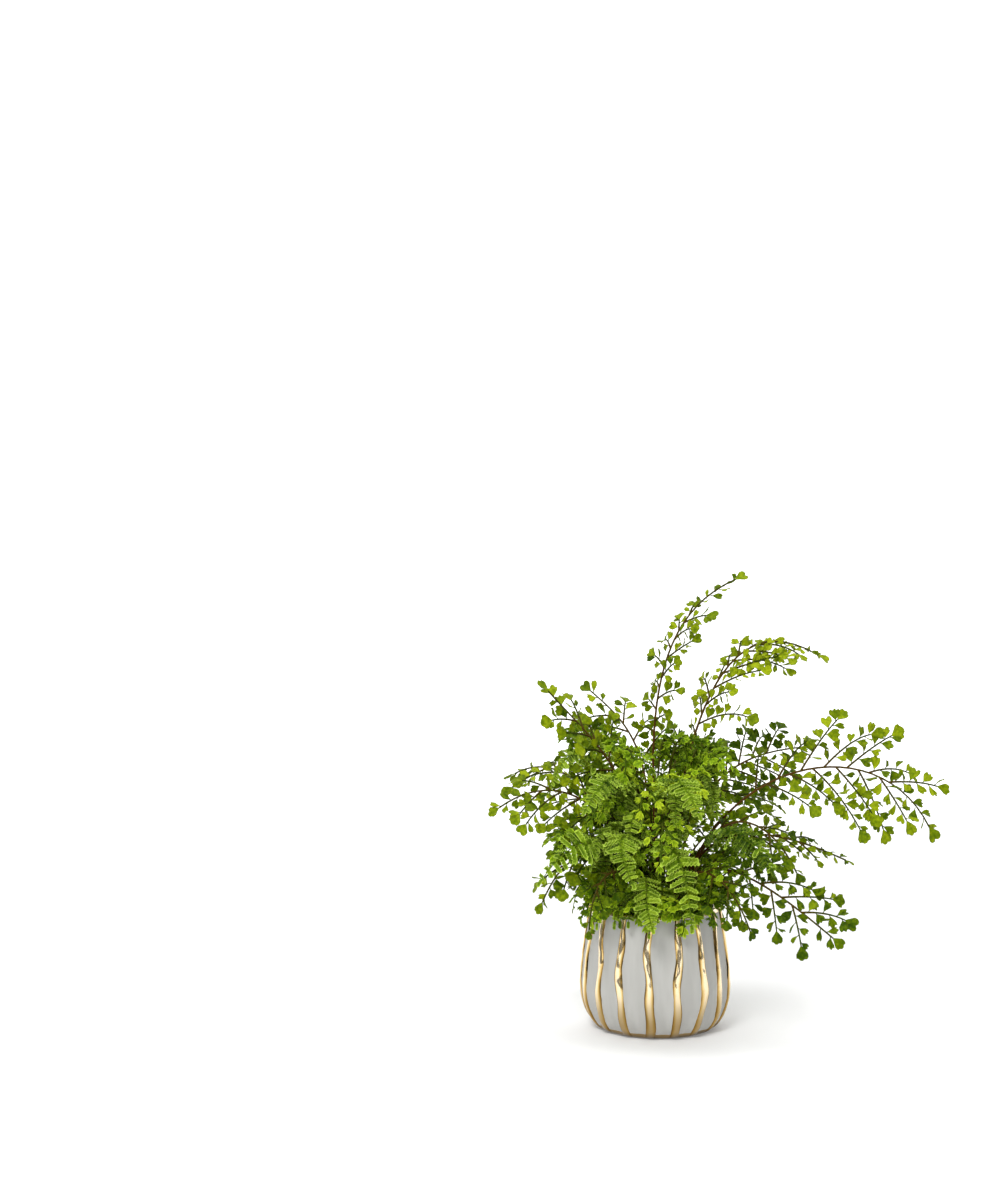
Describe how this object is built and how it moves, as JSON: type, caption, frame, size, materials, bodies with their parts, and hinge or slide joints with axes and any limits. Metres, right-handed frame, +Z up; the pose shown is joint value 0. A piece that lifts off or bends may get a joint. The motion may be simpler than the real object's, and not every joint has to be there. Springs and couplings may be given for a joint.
{
  "type": "potted maidenhair fern",
  "caption": "Potted maidenhair fern with arching sprays of fan-shaped leaflets and small sword-fern fronds, in a rounded ribbed ceramic pot with gold-coloured ribs.",
  "frame": {"origin": "centre of the pot's flat base, on the surface it stands on", "axes": "+Z up the pot's axis, +X to the right along the longest spray, +Y away from the side the picture shows"},
  "size_m": [0.3723, 0.2758, 0.3744],
  "materials": {
    "pot_ceramic": "matte",
    "potting_soil": "matte",
    "moss": "matte",
    "maidenhair_leaf": "satin",
    "sword_fern_leaf": "satin"
  },
  "bodies": {
    "root": {"pot": "pot_ceramic", "soil": "potting_soil", "moss": "moss", "maiden_01": "maidenhair_leaf", "maiden_02": "maidenhair_leaf", "maiden_03": "maidenhair_leaf", "maiden_04": "maidenhair_leaf", "maiden_05": "maidenhair_leaf", "maiden_06": "maidenhair_leaf", "maiden_07": "maidenhair_leaf", "maiden_08": "maidenhair_leaf", "maiden_09": "maidenhair_leaf", "maiden_10": "maidenhair_leaf", "maiden_11": "maidenhair_leaf", "maiden_12": "maidenhair_leaf", "maiden_13": "maidenhair_leaf", "maiden_14": "maidenhair_leaf", "maiden_15": "maidenhair_leaf", "maiden_16": "maidenhair_leaf", "maiden_17": "maidenhair_leaf", "sword_01": "sword_fern_leaf", "sword_02": "sword_fern_leaf", "sword_03": "sword_fern_leaf", "sword_04": "sword_fern_leaf", "sword_05": "sword_fern_leaf", "sword_06": "sword_fern_leaf", "sword_07": "sword_fern_leaf", "sword_08": "sword_fern_leaf"}
  },
  "joints": []
}
